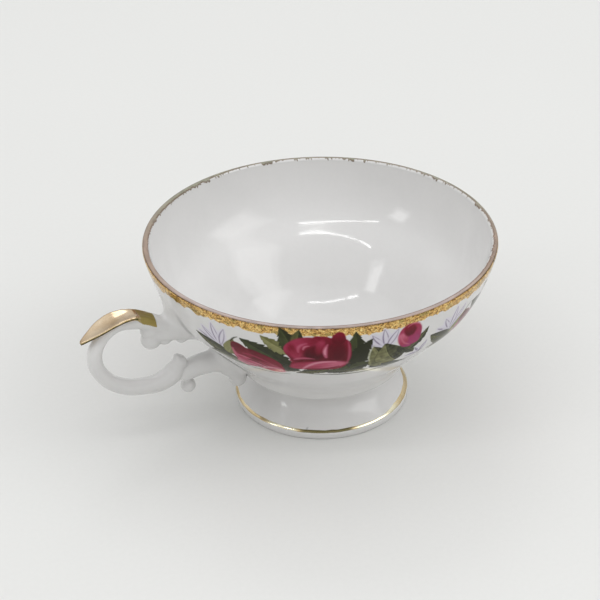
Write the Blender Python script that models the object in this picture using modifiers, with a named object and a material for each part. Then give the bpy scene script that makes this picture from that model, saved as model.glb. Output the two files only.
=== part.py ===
"""Footed porcelain teacup: a wide shallow bowl, a flared hollow foot and a double-scroll handle.

Units are metres and +Z is up. The cup stands on z = 0. The handle points along -X, and the origin is the
middle of the bottom of the whole cup's bounding box, so the bowl's own axis lies at x = AXIS_X.
Each piece is a separate body: the foot and the handle are luted to the bowl with slip, and each layer of
slip is a piece of its own with CLEARANCE on both sides.
"""
import math

import bmesh
import bpy
from mathutils import Matrix, Vector

MM = 0.001

# Driving dimensions of the bowl
RIM_RADIUS = 51.0 * MM
CUP_HEIGHT = 54.0 * MM
LIP_THICKNESS = 1.8 * MM
SHOULDER_RADIUS = 43.0 * MM
SHOULDER_HEIGHT = 35.0 * MM
CONE_FOOT_RADIUS = 33.6 * MM
CONE_FOOT_HEIGHT = 24.8 * MM
KNEE_RADIUS = 25.6 * MM
KNEE_HEIGHT = 14.8 * MM
LANDING_RADIUS = 22.0 * MM
LANDING_HEIGHT = 12.5 * MM
INNER_SHOULDER_RADIUS = 41.4 * MM
INNER_SHOULDER_HEIGHT = 36.4 * MM
INNER_WAIST_RADIUS = 38.0 * MM
INNER_WAIST_HEIGHT = 33.4 * MM
INNER_BELLY_RADIUS = 28.0 * MM
INNER_BELLY_HEIGHT = 21.2 * MM
FLOOR_RADIUS = 20.0 * MM
FLOOR_HEIGHT = 14.3 * MM
FLOOR_DISH = 0.3 * MM

# How far each curve handle of the bowl's profile lies from its own point, as (outward, up)
LIP_PULL = (-1.0 * MM, -5.1 * MM)
SHOULDER_PULL = (3.9 * MM, 4.2 * MM)
CONE_FOOT_PULL = (-3.2 * MM, -3.4 * MM)
KNEE_UPPER_PULL = (0.8 * MM, 3.2 * MM)
KNEE_LOWER_PULL = (-0.4 * MM, -1.6 * MM)
LANDING_PULL = (1.5 * MM, 0.0)

# The inner wall's slope (degrees from level) at each of its points, and how far its curve handles reach
INNER_LIP_SLOPE = 80.0
INNER_SHOULDER_SLOPE = 43.6
INNER_WAIST_SLOPE = 41.5
INNER_BELLY_SLOPE = 53.8
FLOOR_SLOPE = 2.0
INNER_LIP_REACH = 3.6 * MM
INNER_SHOULDER_REACHES = (6.8 * MM, 1.1 * MM)
INNER_WAIST_REACHES = (2.0 * MM, 4.2 * MM)
INNER_BELLY_REACHES = (7.2 * MM, 3.7 * MM)
FLOOR_REACH = 1.0 * MM

# Driving dimensions of the foot
FOOT_RADIUS = 26.2 * MM
FOOT_EDGE_HEIGHT = 1.9 * MM
FOOT_BREAK_RADIUS = 25.2 * MM
FOOT_BREAK_HEIGHT = 3.1 * MM
FOOT_REST_OUTER = 25.5 * MM
FOOT_REST_INNER = 22.6 * MM
WAIST_RADIUS = 19.5 * MM
WAIST_BORE_RADIUS = 15.6 * MM

# How far each curve handle of the foot's profile lies from its own point, as (outward, up)
WAIST_PULL = (-0.2 * MM, -3.7 * MM)
FLARE_PULL = (-3.1 * MM, 2.0 * MM)
BREAK_PULL = (0.5 * MM, -0.3 * MM)
EDGE_UPPER_PULL = (0.0, 0.6 * MM)
EDGE_LOWER_PULL = (0.0, -0.9 * MM)
REST_OUTER_PULL = (0.5 * MM, 0.0)
REST_INNER_PULL = (-0.6 * MM, 2.4 * MM)
BORE_PULL = (0.5 * MM, -5.5 * MM)

# Driving dimensions of the handle
HANDLE_REACH = 74.3 * MM
HANDLE_WIDTH_SCALE = 1.12
LEAF_THICKNESS = 1.1 * MM

# Joints
CLEARANCE = 0.3 * MM
SLIP_THICKNESS = 0.6 * MM
SLIP_SPREAD = 0.7 * MM
ENVELOPE_HEADROOM = 10.0 * MM

AXIS_X = (HANDLE_REACH - RIM_RADIUS) / 2

# Mesh resolution
BOWL_STEPS = 64
FOOT_STEPS = 48
CURVE_POINTS = 8
BEND_POINTS = 4
KNEE_POINTS = 5
BORE_POINTS = 7
BELLY_POINTS = 6
WAIST_POINTS = 3
LIP_POINTS = 6
TUBE_BEVEL_RESOLUTION = 3
TUBE_CURVE_RESOLUTION = 4
LOBE_SEGMENTS = 20
LOBE_RINGS = 12
LEAF_COLUMNS = 5
LEAF_SUBDIVISIONS = 2
SMOOTH_ANGLE = math.radians(40)
MERGE_DISTANCE = 0.01 * MM

# Finishes as (colour, roughness, coat)
GLAZED_WHITE = ((0.86, 0.86, 0.84, 1.0), 0.12, 1.0)
SLIP_WHITE = ((0.78, 0.76, 0.72, 1.0), 0.35, 0.6)


def clear_scene():
    for obj in list(bpy.data.objects):
        bpy.data.objects.remove(obj, do_unlink=True)
    for collection in list(bpy.data.collections):
        bpy.data.collections.remove(collection)


def new_collection(name):
    collection = bpy.data.collections.new(name)
    bpy.context.scene.collection.children.link(collection)
    return collection


def principled(name, finish):
    colour, roughness, coat = finish
    material = bpy.data.materials.new(name)
    material.use_nodes = True
    shader = material.node_tree.nodes["Principled BSDF"]
    shader.inputs["Base Color"].default_value = colour
    shader.inputs["Roughness"].default_value = roughness
    shader.inputs["Metallic"].default_value = 0.0
    shader.inputs["Coat Weight"].default_value = coat
    return material


def add_object(name, mesh, collection, material=None):
    obj = bpy.data.objects.new(name, mesh)
    collection.objects.link(obj)
    if material is not None:
        mesh.materials.append(material)
    return obj


def make_cutter(obj):
    obj.hide_render = True
    obj.display_type = "WIRE"
    return obj


def bezier(start, start_pull, end_pull, end, count=CURVE_POINTS):
    """Points of a cubic segment, without its last point so that segments chain.

    Each pull is how far the curve's handle lies from its own end point.
    """
    first_handle = (start[0] + start_pull[0], start[1] + start_pull[1])
    second_handle = (end[0] + end_pull[0], end[1] + end_pull[1])
    corners = (start, first_handle, second_handle, end)
    points = []
    for i in range(count):
        t = i / count
        s = 1 - t
        weights = (s * s * s, 3 * s * s * t, 3 * s * t * t, t * t * t)
        points.append(tuple(sum(w * c[axis] for w, c in zip(weights, corners)) for axis in (0, 1)))
    return points


def bowl_outer_wall():
    """The outer profile as (radius, height), from the lip down to the landing that the foot is luted to."""
    lip = (RIM_RADIUS, CUP_HEIGHT - LIP_THICKNESS / 2)
    shoulder = (SHOULDER_RADIUS, SHOULDER_HEIGHT)
    cone_foot = (CONE_FOOT_RADIUS, CONE_FOOT_HEIGHT)
    knee = (KNEE_RADIUS, KNEE_HEIGHT)
    landing = (LANDING_RADIUS, LANDING_HEIGHT)
    wall = bezier(lip, LIP_PULL, SHOULDER_PULL, shoulder)
    wall.append(shoulder)
    wall += bezier(cone_foot, CONE_FOOT_PULL, KNEE_UPPER_PULL, knee)
    wall += bezier(knee, KNEE_LOWER_PULL, LANDING_PULL, landing, KNEE_POINTS)
    wall.append(landing)
    return wall


def slope_pull(slope, reach):
    """A curve handle that lies a distance up a slope (or down it, when the distance is negative)."""
    angle = math.radians(slope)
    return (reach * math.cos(angle), reach * math.sin(angle))


def bowl_inner_wall():
    """The inner profile as (radius, height), from the well's centre up to the lip."""
    floor_edge = (FLOOR_RADIUS, FLOOR_HEIGHT)
    belly = (INNER_BELLY_RADIUS, INNER_BELLY_HEIGHT)
    waist = (INNER_WAIST_RADIUS, INNER_WAIST_HEIGHT)
    shoulder = (INNER_SHOULDER_RADIUS, INNER_SHOULDER_HEIGHT)
    lip = (RIM_RADIUS - LIP_THICKNESS, CUP_HEIGHT - LIP_THICKNESS / 2)
    floor_pull = slope_pull(FLOOR_SLOPE, FLOOR_REACH)
    belly_above, belly_below = INNER_BELLY_REACHES
    waist_above, waist_below = INNER_WAIST_REACHES
    shoulder_above, shoulder_below = INNER_SHOULDER_REACHES
    wall = [(0.0, FLOOR_HEIGHT - FLOOR_DISH)]
    wall += bezier(floor_edge, floor_pull, slope_pull(INNER_BELLY_SLOPE, -belly_below), belly)
    wall += bezier(
        belly,
        slope_pull(INNER_BELLY_SLOPE, belly_above),
        slope_pull(INNER_WAIST_SLOPE, -waist_below),
        waist,
        BELLY_POINTS,
    )
    wall += bezier(
        waist,
        slope_pull(INNER_WAIST_SLOPE, waist_above),
        slope_pull(INNER_SHOULDER_SLOPE, -shoulder_below),
        shoulder,
        WAIST_POINTS,
    )
    wall += bezier(
        shoulder,
        slope_pull(INNER_SHOULDER_SLOPE, shoulder_above),
        slope_pull(INNER_LIP_SLOPE, -INNER_LIP_REACH),
        lip,
    )
    return wall


def lip_arc():
    """The half-round lip, from its inner side over the top."""
    centre_radius = RIM_RADIUS - LIP_THICKNESS / 2
    centre_height = CUP_HEIGHT - LIP_THICKNESS / 2
    points = []
    for i in range(LIP_POINTS):
        angle = math.pi * (1 - i / LIP_POINTS)
        radius = centre_radius + LIP_THICKNESS / 2 * math.cos(angle)
        points.append((radius, centre_height + LIP_THICKNESS / 2 * math.sin(angle)))
    return points


def offset_profile(profile, distance):
    """The profile pushed outward (away from the axis and down) by a distance along its own normal."""
    pushed = []
    for i, point in enumerate(profile):
        before = Vector(profile[max(i - 1, 0)])
        after = Vector(profile[min(i + 1, len(profile) - 1)])
        along = (after - before).normalized()
        pushed.append((point[0] - along.y * distance, point[1] + along.x * distance))
    return pushed


def turned_object(name, profile, steps, collection, closed, material=None):
    """A profile of (radius, height) points turned about the cup's axis with a Screw modifier."""
    mesh = bpy.data.meshes.new(name)
    vertices = [(radius, 0.0, height) for radius, height in profile]
    edges = [(i, i + 1) for i in range(len(vertices) - 1)]
    if closed:
        edges.append((len(vertices) - 1, 0))
    mesh.from_pydata(vertices, edges, [])
    obj = add_object(name, mesh, collection, material)
    obj.location.x = AXIS_X
    screw = obj.modifiers.new("Turn", "SCREW")
    screw.axis = "Z"
    screw.steps = steps
    screw.render_steps = steps
    screw.use_merge_vertices = True
    screw.merge_threshold = MERGE_DISTANCE
    screw.use_smooth_shade = True
    return obj


def make_bowl(collection, material):
    profile = lip_arc() + bowl_outer_wall()
    profile.append((0.0, LANDING_HEIGHT))
    profile += bowl_inner_wall()
    return turned_object("bowl", profile, BOWL_STEPS, collection, True, material)


def foot_profile():
    """The foot's closed section, outer side first, from the waist down."""
    top = LANDING_HEIGHT - 2 * CLEARANCE - SLIP_THICKNESS
    waist = (WAIST_RADIUS, top)
    flare_break = (FOOT_BREAK_RADIUS, FOOT_BREAK_HEIGHT)
    edge = (FOOT_RADIUS, FOOT_EDGE_HEIGHT)
    rest_outer = (FOOT_REST_OUTER, 0.0)
    rest_inner = (FOOT_REST_INNER, 0.0)
    bore = (WAIST_BORE_RADIUS, top)
    profile = bezier(waist, WAIST_PULL, FLARE_PULL, flare_break)
    profile += bezier(flare_break, BREAK_PULL, EDGE_UPPER_PULL, edge, BEND_POINTS)
    profile += bezier(edge, EDGE_LOWER_PULL, REST_OUTER_PULL, rest_outer, BEND_POINTS)
    profile.append(rest_outer)
    profile += bezier(rest_inner, REST_INNER_PULL, BORE_PULL, bore, BORE_POINTS)
    profile.append(bore)
    return profile


def make_foot(collection, material):
    return turned_object("foot", foot_profile(), FOOT_STEPS, collection, True, material)


def make_foot_slip_seam(collection, material):
    top = LANDING_HEIGHT - CLEARANCE
    outer = WAIST_RADIUS - CLEARANCE
    inner = WAIST_BORE_RADIUS + CLEARANCE
    profile = [
        (outer, top),
        (outer, top - SLIP_THICKNESS),
        (inner, top - SLIP_THICKNESS),
        (inner, top),
    ]
    return turned_object("foot_slip_seam", profile, FOOT_STEPS, collection, True, material)


def make_bowl_envelope(name, distance, collection):
    """A solid of everything within the bowl's outer wall, grown by a distance."""
    wall = offset_profile(bowl_outer_wall(), distance)
    above = CUP_HEIGHT + ENVELOPE_HEADROOM
    below = LANDING_HEIGHT - distance
    profile = [(0.0, above), (wall[0][0], above)] + wall + [(0.0, below)]
    return make_cutter(turned_object(name, profile, BOWL_STEPS, collection, False))


def handle_point(reach, height):
    """A place in the handle's own plane, given by its distance from the cup's axis and its height in mm."""
    return Vector((AXIS_X - reach * MM, 0.0, height * MM))


def tube_mesh(name, stations, width_scale):
    """A closed tube through (reach, height, radius) stations in millimetres, widened across its plane."""
    curve = bpy.data.curves.new(name, "CURVE")
    curve.dimensions = "3D"
    curve.bevel_depth = 1.0 * MM
    curve.bevel_resolution = TUBE_BEVEL_RESOLUTION
    curve.resolution_u = TUBE_CURVE_RESOLUTION
    curve.use_fill_caps = True
    curve.twist_mode = "MINIMUM"
    spline = curve.splines.new("BEZIER")
    spline.bezier_points.add(len(stations) - 1)
    for point, (reach, height, radius) in zip(spline.bezier_points, stations):
        point.co = handle_point(reach, height)
        point.radius = radius
        point.handle_left_type = "AUTO"
        point.handle_right_type = "AUTO"
    guide = bpy.data.objects.new(name, curve)
    bpy.context.scene.collection.objects.link(guide)
    graph = bpy.context.evaluated_depsgraph_get()
    mesh = bpy.data.meshes.new_from_object(guide.evaluated_get(graph))
    bpy.data.objects.remove(guide, do_unlink=True)
    bpy.data.curves.remove(curve)
    work = bmesh.new()
    work.from_mesh(mesh)
    bmesh.ops.remove_doubles(work, verts=work.verts, dist=MERGE_DISTANCE)
    bmesh.ops.scale(work, vec=(1.0, width_scale, 1.0), verts=work.verts)
    bmesh.ops.recalc_face_normals(work, faces=work.faces)
    work.to_mesh(mesh)
    work.free()
    return mesh


def lobe_mesh(name, reach, height, radius, half_width):
    """A rounded lobe of the scroll: round in the handle's plane and flattened across it."""
    mesh = bpy.data.meshes.new(name)
    place = Matrix.Translation(handle_point(reach, height))
    place = place @ Matrix.Diagonal((radius * MM, half_width * MM, radius * MM, 1.0))
    work = bmesh.new()
    bmesh.ops.create_uvsphere(
        work, u_segments=LOBE_SEGMENTS, v_segments=LOBE_RINGS, radius=1.0, matrix=place
    )
    bmesh.ops.recalc_face_normals(work, faces=work.faces)
    work.to_mesh(mesh)
    work.free()
    return mesh


# The handle's centre lines as (reach, height, radius) in millimetres.
LOOP = (
    (43.0, 37.4, 2.8),
    (49.5, 37.9, 2.6),
    (54.5, 40.4, 2.5),
    (59.0, 41.7, 2.2),
    (63.8, 41.5, 1.8),
    (68.4, 38.4, 1.9),
    (70.6, 33.0, 2.2),
    (68.8, 26.8, 2.2),
    (63.4, 21.6, 2.3),
    (56.3, 19.4, 2.4),
    (51.2, 19.5, 2.7),
    (47.4, 21.6, 2.8),
    (46.1, 24.8, 1.8),
    (46.4, 26.8, 0.8),
)
LOWER_ARM = (
    (46.0, 19.0, 2.2),
    (42.0, 20.9, 2.7),
    (37.6, 21.8, 2.9),
    (33.2, 21.2, 3.0),
    (30.0, 18.2, 2.9),
    (27.6, 14.6, 2.7),
)
UPPER_ROOT = (
    (41.0, 34.6, 3.2),
    (46.0, 35.3, 3.0),
    (51.5, 36.0, 2.6),
    (54.5, 37.2, 2.0),
)
# The scroll's lobes as (reach, height, radius, half width) in millimetres.
LOBES = {
    "curl": (53.8, 34.6, 3.3, 2.7),
    "inner_scallop": (49.6, 34.1, 2.5, 2.4),
    "root_scallop": (44.4, 33.0, 2.3, 2.4),
    "bead": (43.3, 16.4, 2.1, 2.1),
    "tail": (27.3, 13.5, 3.0, 2.9),
}
# The thumb leaf's stations as (reach, height, half width, dish) in millimetres, from its crest to its tip.
LEAF = (
    (57.6, 44.2, 2.7, 0.3),
    (61.4, 44.0, 3.5, 0.6),
    (65.5, 43.3, 3.8, 0.7),
    (69.1, 41.7, 3.2, 0.6),
    (71.6, 40.3, 2.2, 0.3),
    (HANDLE_REACH / MM, 38.9, 0.7, 0.1),
)


def make_leaf(collection):
    """The thumb rest: a dished leaf lying along the top of the loop, which the handle is joined with."""
    mesh = bpy.data.meshes.new("thumb_leaf")
    work = bmesh.new()
    rows = []
    for reach, height, half_width, dish in LEAF:
        row = []
        for column in range(LEAF_COLUMNS):
            across = 2 * column / (LEAF_COLUMNS - 1) - 1
            place = handle_point(reach, height + dish * across * across)
            place.y = half_width * MM * across
            row.append(work.verts.new(place))
        rows.append(row)
    for near_row, far_row in zip(rows, rows[1:]):
        for i in range(LEAF_COLUMNS - 1):
            work.faces.new((near_row[i], near_row[i + 1], far_row[i + 1], far_row[i]))
    bmesh.ops.recalc_face_normals(work, faces=work.faces)
    if sum(face.normal.z for face in work.faces) < 0:
        bmesh.ops.reverse_faces(work, faces=work.faces)
    work.to_mesh(mesh)
    work.free()
    leaf = make_cutter(add_object("thumb_leaf", mesh, collection))
    smooth = leaf.modifiers.new("Smooth", "SUBSURF")
    smooth.levels = LEAF_SUBDIVISIONS
    smooth.render_levels = LEAF_SUBDIVISIONS
    smooth.boundary_smooth = "PRESERVE_CORNERS"
    thick = leaf.modifiers.new("Thickness", "SOLIDIFY")
    thick.thickness = LEAF_THICKNESS
    thick.offset = -1.0
    return leaf


def boolean(obj, other, operation):
    modifier = obj.modifiers.new(operation.title() + "_" + other.name, "BOOLEAN")
    modifier.operation = operation
    modifier.solver = "EXACT"
    modifier.object = other


def fattened(stations, growth):
    return [(reach, height, radius + growth / MM) for reach, height, radius in stations]


def make_handle(collection, cutters, material, envelope):
    handle = add_object("handle", tube_mesh("handle", LOOP, HANDLE_WIDTH_SCALE), collection, material)
    additions = [
        add_object("lower_arm", tube_mesh("lower_arm", LOWER_ARM, 1.0), cutters),
        add_object("upper_root", tube_mesh("upper_root", UPPER_ROOT, 1.0), cutters),
    ]
    for name, (reach, height, radius, half_width) in LOBES.items():
        mesh = lobe_mesh(name, reach, height, radius, half_width)
        additions.append(add_object(name, mesh, cutters))
    for addition in additions:
        make_cutter(addition)
        boolean(handle, addition, "UNION")
    boolean(handle, make_leaf(cutters), "UNION")
    boolean(handle, envelope, "DIFFERENCE")
    return handle


def make_slip_seam(name, root_stations, collection, cutters, inner_envelope, outer_envelope):
    """A layer of slip that follows the bowl's wall, a little wider than the root that it holds."""
    first, others = root_stations[0], root_stations[1:]
    mesh = tube_mesh(name, fattened(first, SLIP_SPREAD), HANDLE_WIDTH_SCALE)
    seam = add_object(name, mesh, collection, principled("fired_slip_" + name, SLIP_WHITE))
    for i, stations in enumerate(others):
        extra_name = f"{name}_spread_{i}"
        extra = add_object(extra_name, tube_mesh(extra_name, fattened(stations, SLIP_SPREAD), 1.0), cutters)
        make_cutter(extra)
        boolean(seam, extra, "UNION")
    boolean(seam, outer_envelope, "INTERSECT")
    boolean(seam, inner_envelope, "DIFFERENCE")
    return seam


def shade_smooth(obj):
    obj.data.shade_smooth()
    obj.data.set_sharp_from_angle(angle=SMOOTH_ANGLE)


def main():
    clear_scene()
    cup = new_collection("teacup")
    cutters = new_collection("teacup_cutters")
    cutters.hide_render = True

    near = make_bowl_envelope("bowl_envelope_near", CLEARANCE, cutters)
    middle = make_bowl_envelope("bowl_envelope_slip", CLEARANCE + SLIP_THICKNESS, cutters)
    far = make_bowl_envelope("bowl_envelope_far", 2 * CLEARANCE + SLIP_THICKNESS, cutters)

    make_bowl(cup, principled("glazed_porcelain_bowl", GLAZED_WHITE))
    make_foot(cup, principled("glazed_porcelain_foot", GLAZED_WHITE))
    make_foot_slip_seam(cup, principled("fired_slip_foot", SLIP_WHITE))
    handle = make_handle(cup, cutters, principled("glazed_porcelain_handle", GLAZED_WHITE), far)
    upper = make_slip_seam("upper_slip_seam", (LOOP[:3], UPPER_ROOT[:3]), cup, cutters, near, middle)
    lower = make_slip_seam("lower_slip_seam", (LOWER_ARM[2:],), cup, cutters, near, middle)
    for obj in (handle, upper, lower):
        shade_smooth(obj)


main()
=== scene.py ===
"""Looks of the footed porcelain teacup: glazed white body, gilt edges and a painted band of rose sprays.

Lengths are in metres. Places on the painted band are given as (around, down): degrees around the cup
from the handle, and millimetres down the outside from the lip. Places on the handle are given as
(reach, height): millimetres from the bowl's axis and above the floor.
"""
import math

import bmesh
import bpy
import numpy as np
from mathutils import Matrix, Vector


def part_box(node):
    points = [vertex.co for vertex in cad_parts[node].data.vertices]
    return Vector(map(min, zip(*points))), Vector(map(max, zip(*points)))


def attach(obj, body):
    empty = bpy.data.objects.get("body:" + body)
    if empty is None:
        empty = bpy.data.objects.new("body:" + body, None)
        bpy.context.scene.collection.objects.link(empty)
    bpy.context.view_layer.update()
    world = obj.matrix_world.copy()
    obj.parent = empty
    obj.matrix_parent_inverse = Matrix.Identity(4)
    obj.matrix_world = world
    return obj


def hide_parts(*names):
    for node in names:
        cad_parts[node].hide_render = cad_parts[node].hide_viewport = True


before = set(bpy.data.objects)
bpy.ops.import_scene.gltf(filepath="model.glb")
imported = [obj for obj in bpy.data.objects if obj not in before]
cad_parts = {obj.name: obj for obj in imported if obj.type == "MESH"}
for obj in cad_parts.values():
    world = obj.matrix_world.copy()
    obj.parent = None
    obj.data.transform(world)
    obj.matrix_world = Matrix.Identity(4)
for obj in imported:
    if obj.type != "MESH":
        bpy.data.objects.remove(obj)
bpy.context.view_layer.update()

MM = 0.001

# ---- measures taken from the frame
bowl_low, bowl_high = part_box("bowl")
foot_low, foot_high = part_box("foot")
AXIS_X = (bowl_low.x + bowl_high.x) / 2
RIM_RADIUS = (bowl_high.x - bowl_low.x) / 2
CUP_HEIGHT = bowl_high.z
LANDING_HEIGHT = bowl_low.z
FOOT_RADIUS = (foot_high.x - foot_low.x) / 2

# ---- the bowl's section, its points given as (radius, height)
LIP_THICKNESS = 1.8 * MM
LIP_RADIUS = LIP_THICKNESS / 2
SHOULDER = (RIM_RADIUS - 8.0 * MM, CUP_HEIGHT - 19.0 * MM)
CONE_FOOT = (RIM_RADIUS - 17.4 * MM, CUP_HEIGHT - 29.2 * MM)
KNEE = (RIM_RADIUS - 25.4 * MM, LANDING_HEIGHT + 2.3 * MM)
LANDING = (RIM_RADIUS - 29.0 * MM, LANDING_HEIGHT)
INNER_LIP = (RIM_RADIUS - LIP_THICKNESS, CUP_HEIGHT - LIP_RADIUS)
INNER_SHOULDER = (RIM_RADIUS - 9.6 * MM, CUP_HEIGHT - 17.6 * MM)
INNER_WAIST = (RIM_RADIUS - 13.0 * MM, CUP_HEIGHT - 20.6 * MM)
INNER_BELLY = (RIM_RADIUS - 23.0 * MM, LANDING_HEIGHT + 8.7 * MM)
FLOOR_EDGE = (20.0 * MM, LANDING_HEIGHT + 1.8 * MM)
FLOOR_CENTRE = (0.0, LANDING_HEIGHT + 1.5 * MM)
BOWL_STEPS = 256

# ---- the foot's section, its points given as (radius, height)
WAIST_RADIUS = 19.5 * MM
FOOT_BREAK = (FOOT_RADIUS - 1.0 * MM, 3.1 * MM)
FOOT_EDGE = (FOOT_RADIUS, 1.9 * MM)
REST_OUTER = (FOOT_RADIUS - 0.7 * MM, 0.0)
REST_INNER = (FOOT_RADIUS - 3.6 * MM, 0.0)
BORE_RADIUS = 15.6 * MM
FOOT_NECK = (WAIST_RADIUS, LANDING_HEIGHT - 2.6 * MM)
FOOT_STEPS = 256
FOOT_LINE_STEPS = 720
FOOT_LINE_ROWS = 7
# Where the foot line is broadest, in degrees counterclockwise from the side away from the handle.
BROAD_SIDE = 325

# ---- the painted band: its rows in mm down from the lip, and its pieces' start in degrees around
BAND_TOP = -4.6
BAND_BOTTOM = 25.2
BAND_ROW = 0.2
BAND_COLUMNS = 1600
BAND_SECTORS = 4
BAND_START = 12
# How far a film stands off the glaze, and how far its edges are tucked under it.
FILM = 0.02 * MM
TUCK = 0.04 * MM


def cubic(start, start_pull, end_pull, end, count):
    """Points of a cubic segment without its last. Each pull is an offset in mm from its own end."""
    t = np.linspace(0, 1, count, endpoint=False)[:, None]
    s = 1 - t
    start, end = np.array(start), np.array(end)
    first = start + np.array(start_pull) * MM
    second = end + np.array(end_pull) * MM
    return s**3 * start + 3 * s * s * t * first + 3 * s * t * t * second + t**3 * end


def straight(start, end, count):
    t = np.linspace(0, 1, count, endpoint=False)[:, None]
    return np.array(start) * (1 - t) + np.array(end) * t


def arc(centre, radius, start_angle, end_angle, count):
    angle = np.radians(np.linspace(start_angle, end_angle, count, endpoint=False))
    return np.stack([centre[0] + radius * np.cos(angle), centre[1] + radius * np.sin(angle)], 1)


def outer_wall(detail=1):
    """The bowl's outside as (radius, height), from the lip's widest point down to the landing."""
    lip = (RIM_RADIUS, CUP_HEIGHT - LIP_RADIUS)
    return np.vstack([
        cubic(lip, (-1.0, -5.1), (3.9, 4.2), SHOULDER, 60 * detail),
        straight(SHOULDER, CONE_FOOT, 20 * detail),
        cubic(CONE_FOOT, (-3.2, -3.4), (0.8, 3.2), KNEE, 24 * detail),
        cubic(KNEE, (-0.4, -1.6), (1.5, 0.0), LANDING, 12 * detail),
        [LANDING],
    ])


def lengths_along(points):
    """How far along a chain of points each one lies, in millimetres."""
    steps = np.linalg.norm(np.diff(points, axis=0), axis=1)
    return np.concatenate([[0], np.cumsum(steps)]) / MM


def slope_pull(slope, reach):
    """A curve handle reaching (mm) up a slope in degrees, or down it when the reach is negative."""
    return (reach * math.cos(math.radians(slope)), reach * math.sin(math.radians(slope)))


def below_inner_lip(count):
    """The upper part of the bowl's inside as (radius, height), from its shoulder up to the lip."""
    return cubic(INNER_SHOULDER, slope_pull(43.6, 6.8), slope_pull(80.0, -3.6), INNER_LIP, count)


def inner_wall():
    """The bowl's inside as (radius, height), from the well's centre up to the lip."""
    return np.vstack([
        straight(FLOOR_CENTRE, FLOOR_EDGE, 12),
        cubic(FLOOR_EDGE, slope_pull(2.0, 1.0), slope_pull(53.8, -3.7), INNER_BELLY, 40),
        cubic(INNER_BELLY, slope_pull(53.8, 7.2), slope_pull(41.5, -4.2), INNER_WAIST, 40),
        cubic(INNER_WAIST, slope_pull(41.5, 2.0), slope_pull(43.6, -1.1), INNER_SHOULDER, 16),
        below_inner_lip(60),
    ])


def lip_arc(count):
    """The rounded lip, from its inner side over the top to its outer side."""
    return arc((RIM_RADIUS - LIP_RADIUS, CUP_HEIGHT - LIP_RADIUS), LIP_RADIUS, 180, 0, count)


def foot_flare(count):
    """The foot's outside as (radius, height), from its neck out to the break above its edge."""
    return cubic(FOOT_NECK, (-0.05, -2.7), (-3.1, 2.0), FOOT_BREAK, count)


def foot_rim(count):
    """The foot's rounded edge, from the break down to the rest."""
    return np.vstack([
        cubic(FOOT_BREAK, (0.5, -0.3), (0.0, 0.6), FOOT_EDGE, count),
        cubic(FOOT_EDGE, (0.0, -0.9), (0.5, 0.0), REST_OUTER, count),
    ])


def foot_section():
    """The foot's closed outline: fillet under the bowl, flare, rest, hollow, and top within the bowl."""
    flare_top = (WAIST_RADIUS + 1.9 * MM, LANDING_HEIGHT + 0.12 * MM)
    bore = (BORE_RADIUS, LANDING_HEIGHT + 0.3 * MM)
    return np.vstack([
        cubic(flare_top, (-1.3, -0.15), (0.0, 1.5), FOOT_NECK, 14),
        foot_flare(40),
        foot_rim(8),
        straight(REST_OUTER, REST_INNER, 4),
        cubic(REST_INNER, (-0.6, 2.4), (0.5, -5.5), bore, 24),
        [bore],
    ])


# ---- turned meshes
def section_normals(section):
    """Unit normals of an open section, a quarter turn to the left of the way that it runs."""
    before = np.vstack([section[:1], section[:-1]])
    after = np.vstack([section[1:], section[-1:]])
    along = after - before
    along /= np.maximum(np.linalg.norm(along, axis=1), 1e-12)[:, None]
    return np.stack([-along[:, 1], along[:, 0]], 1)


def placed(name, data):
    """A new object, put in the scene."""
    obj = bpy.data.objects.new(name, data)
    bpy.context.scene.collection.objects.link(obj)
    return obj


def new_piece(name, vertices, faces, material):
    mesh = bpy.data.meshes.new(name)
    mesh.from_pydata(np.asarray(vertices).tolist(), [], faces)
    mesh.materials.append(material)
    mesh.shade_smooth()
    return placed(name, mesh)


def turned_piece(name, section, steps, material):
    """A closed section turned about the bowl's axis. A section point on the axis becomes one vertex."""
    angles = np.linspace(0, 2 * math.pi, steps, endpoint=False)
    vertices, rings = [], []
    for radius, height in section:
        if radius < 1e-7:
            rings.append([len(vertices)] * steps)
            vertices.append((AXIS_X, 0.0, height))
            continue
        rings.append(list(range(len(vertices), len(vertices) + steps)))
        for angle in angles:
            vertices.append((AXIS_X + radius * math.cos(angle), radius * math.sin(angle), height))
    faces = []
    for upper, lower in zip(rings, rings[1:] + rings[:1]):
        if upper[0] == upper[1] and lower[0] == lower[1]:
            continue
        for i in range(steps):
            j = (i + 1) % steps
            corners = (upper[i], upper[j], lower[j], lower[i])
            faces.append(tuple(dict.fromkeys(corners)))
    return new_piece(name, vertices, faces, material)


def read_section(section, distance, places):
    """Radius, height and normal of a section at places given as distances along it."""
    columns = (*section.T, *section_normals(section).T)
    return [np.interp(places, distance, values) for values in columns]


def film_lift(rows):
    """How far each row of a film stands off the glaze, its first and last tucked under."""
    lift = np.full(rows, FILM)
    lift[[0, -1]] = -TUCK
    return lift


def film_section(down):
    """Radius, height and outward normal of the bowl's outside at distances (mm) down from the lip."""
    over_lip = np.vstack([below_inner_lip(400), lip_arc(160)])
    wall = np.vstack([over_lip, outer_wall(8)])
    distance = lengths_along(wall)
    return read_section(wall, distance - distance[len(over_lip)], down)


def film_places(around, down, lift):
    """Points and normals of a film that stands off the bowl by its lift, on a grid of around and down."""
    radius, height, out, up = film_section(down)
    radius = radius + lift * out
    height = height + lift * up
    bearing = np.radians(180 + around)[:, None]
    ones = np.ones_like(bearing)
    points = np.stack(
        [AXIS_X + np.cos(bearing) * radius, np.sin(bearing) * radius, ones * height], -1
    )
    normals = np.stack([np.cos(bearing) * out, np.sin(bearing) * out, ones * up], -1)
    return points.reshape(-1, 3), normals.reshape(-1, 3)


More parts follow.
